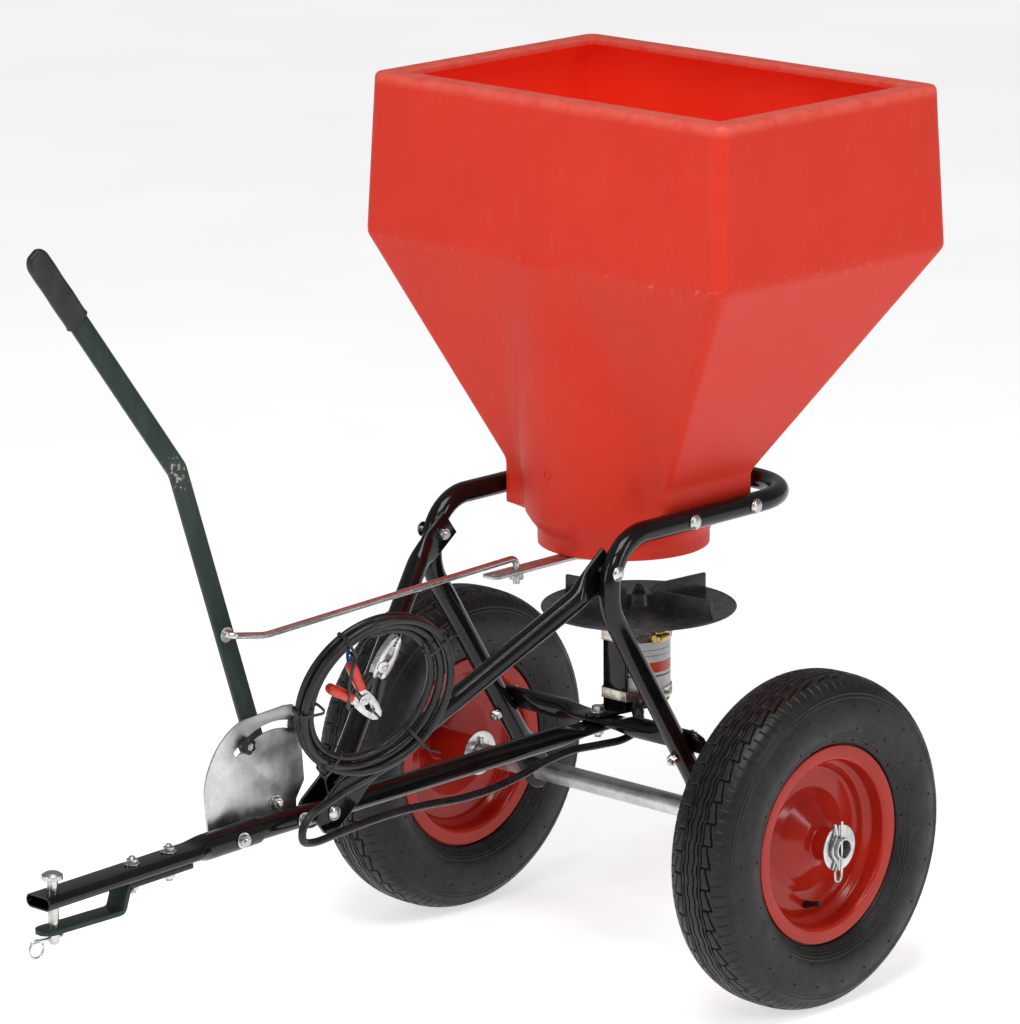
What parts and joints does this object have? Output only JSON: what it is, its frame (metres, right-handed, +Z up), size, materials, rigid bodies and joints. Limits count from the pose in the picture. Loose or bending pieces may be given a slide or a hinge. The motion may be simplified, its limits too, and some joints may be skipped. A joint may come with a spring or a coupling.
{
  "type": "tow behind spreader",
  "caption": "Tow behind broadcast spreader: tapered hopper on a wheeled tube frame, lever-worked gate, motor-driven spinning disc and pin hitch.",
  "frame": {"origin": "on the ground, under the middle of the spreader's outline, half way between the wheels", "axes": "+Z up, +Y backwards from the hitch to the hopper, +X to the left of someone facing forward"},
  "size_m": [0.6986, 1.1988, 1.0563],
  "materials": {
    "hopper_plastic": "rotomoulded red-orange plastic, satin with pale scuffs",
    "rim_paint": "gloss red enamel",
    "tyre_rubber": "black rubber, satin side walls",
    "frame_paint": "gloss black powder coat",
    "lever_paint": "dark green paint with worn edges",
    "zinc": "bright zinc plate",
    "galvanised": "hot-dip galvanised, spangled",
    "grip": "dipped black vinyl",
    "knob_plastic": "moulded black plastic",
    "spinner_plastic": "moulded dark grey plastic, satin",
    "motor_enamel": "pale grey label wrap, blank",
    "lead_sheath": "black cable sheath",
    "clamp_metal": "zinc-plated spring steel"
  },
  "bodies": {
    "frame": {"hitch_tube": "frame_paint", "drawbar_tube": "frame_paint", "hitch_strap": "lever_paint", "hitch_pin": "zinc", "front_hitch_bolt": "zinc", "rear_hitch_bolt": "zinc", "quadrant_plate": "galvanised", "front_plate_bolt": "zinc", "rear_plate_bolt": "zinc", "lever_pivot_bolt": "zinc", "cradle_frame": "frame_paint", "left_brace": "frame_paint", "right_brace": "frame_paint", "brace_foot_bolt": "zinc", "left_joint_bolt": "zinc", "right_joint_bolt": "zinc", "cross_tube": "frame_paint", "left_cross_bolt": "zinc", "right_cross_bolt": "zinc", "motor_mount": "frame_paint", "mount_bolt": "zinc", "motor_can": "motor_enamel", "lower_hose_clamp": "zinc", "upper_hose_clamp": "zinc", "axle": "galvanised", "left_hairpin": "zinc", "right_hairpin": "zinc", "left_outer_washer": "zinc", "left_inner_washer": "zinc", "right_outer_washer": "zinc", "right_inner_washer": "zinc", "hopper": "hopper_plastic", "left_front_hopper_bolt": "zinc", "right_front_hopper_bolt": "zinc", "left_rear_hopper_bolt": "zinc", "right_rear_hopper_bolt": "zinc", "outlet_plate": "galvanised", "lead_run": "lead_sheath", "lead_coil": "lead_sheath", "red_clamp": "clamp_metal", "black_clamp": "clamp_metal"},
    "left_wheel": {"left_tyre": "tyre_rubber", "left_rim": "rim_paint"},
    "right_wheel": {"right_tyre": "tyre_rubber", "right_rim": "rim_paint"},
    "lever": {"lever_bar": "lever_paint", "lever_grip": "grip"},
    "rod": {"control_rod": "zinc"},
    "gate": {"gate_slide": "galvanised"},
    "spinner": {"spinner_disc": "spinner_plastic", "motor_shaft": "zinc"},
    "front_stop": {"front_stop_bolt": "zinc"},
    "rear_stop": {"rear_stop_bolt": "zinc"},
    "front_knob": {"front_stop_knob": "knob_plastic"},
    "rear_knob": {"rear_stop_knob": "knob_plastic"},
    "hitch_clip": {"hitch_clip": "zinc"},
    "red_jaw": {"red_clamp_jaw": "clamp_metal"},
    "black_jaw": {"black_clamp_jaw": "clamp_metal"}
  },
  "joints": [
    {"name": "left_wheel_spin", "type": "hinge", "parent": "frame", "child": "left_wheel", "pos_m": [0.28925, 0.34815, 0.2], "axis": [1, 0, 0], "continuous": true},
    {"name": "right_wheel_spin", "type": "hinge", "parent": "frame", "child": "right_wheel", "pos_m": [-0.28925, 0.34815, 0.2], "axis": [1, 0, 0], "continuous": true},
    {"name": "spinner_spin", "type": "hinge", "parent": "frame", "child": "spinner", "pos_m": [0, 0.37445, 0.4256], "axis": [0, 0, 1], "continuous": true},
    {"name": "lever_swing", "type": "hinge", "parent": "frame", "child": "lever", "pos_m": [-0.0216, -0.21185, 0.305], "axis": [-1, 0, 0], "range_deg": [0, 18]},
    {"name": "rod_pivot", "type": "hinge", "parent": "lever", "child": "rod", "pos_m": [-0.0216, -0.281, 0.514], "axis": [-1, 0, 0], "range_deg": [-16.6, 0]},
    {"name": "gate_travel", "type": "slide", "parent": "frame", "child": "gate", "axis": [0, 1, 0], "range_m": [0, 0.068]},
    {"name": "front_stop_slide", "type": "hinge", "parent": "frame", "child": "front_stop", "pos_m": [-0.0216, -0.21185, 0.305], "axis": [1, 0, 0], "range_deg": [0, 6]},
    {"name": "rear_stop_slide", "type": "hinge", "parent": "frame", "child": "rear_stop", "pos_m": [-0.0216, -0.21185, 0.305], "axis": [1, 0, 0], "range_deg": [0, 6]},
    {"name": "front_knob_turn", "type": "hinge", "parent": "front_stop", "child": "front_knob", "pos_m": [-0.0158, -0.25874, 0.38182], "axis": [1, 0, 0], "continuous": true},
    {"name": "rear_knob_turn", "type": "hinge", "parent": "rear_stop", "child": "rear_knob", "pos_m": [-0.0158, -0.18196, 0.38989], "axis": [1, 0, 0], "continuous": true},
    {"name": "hitch_clip_pull", "type": "slide", "parent": "frame", "child": "hitch_clip", "axis": [0, -1, 0], "range_m": [0, 0.055]},
    {"name": "red_jaw_open", "type": "hinge", "parent": "frame", "child": "red_jaw", "pos_m": [0.08129, -0.16947, 0.43597], "axis": [-0.9411, 0.1662, 0.2944], "range_deg": [0, 15], "stiffness_Nm_per_rad": 0.6, "springref_deg": -17.19},
    {"name": "black_jaw_open", "type": "hinge", "parent": "frame", "child": "black_jaw", "pos_m": [0.08316, -0.13804, 0.46836], "axis": [-0.9411, 0.1662, 0.2944], "range_deg": [0, 15], "stiffness_Nm_per_rad": 0.6, "springref_deg": -17.19}
  ],
  "couplings": [
    {"joint": "rod_pivot", "follows": "lever_swing", "ratio": -0.92},
    {"joint": "gate_travel", "follows": "lever_swing", "m_per_rad": 0.2155}
  ]
}
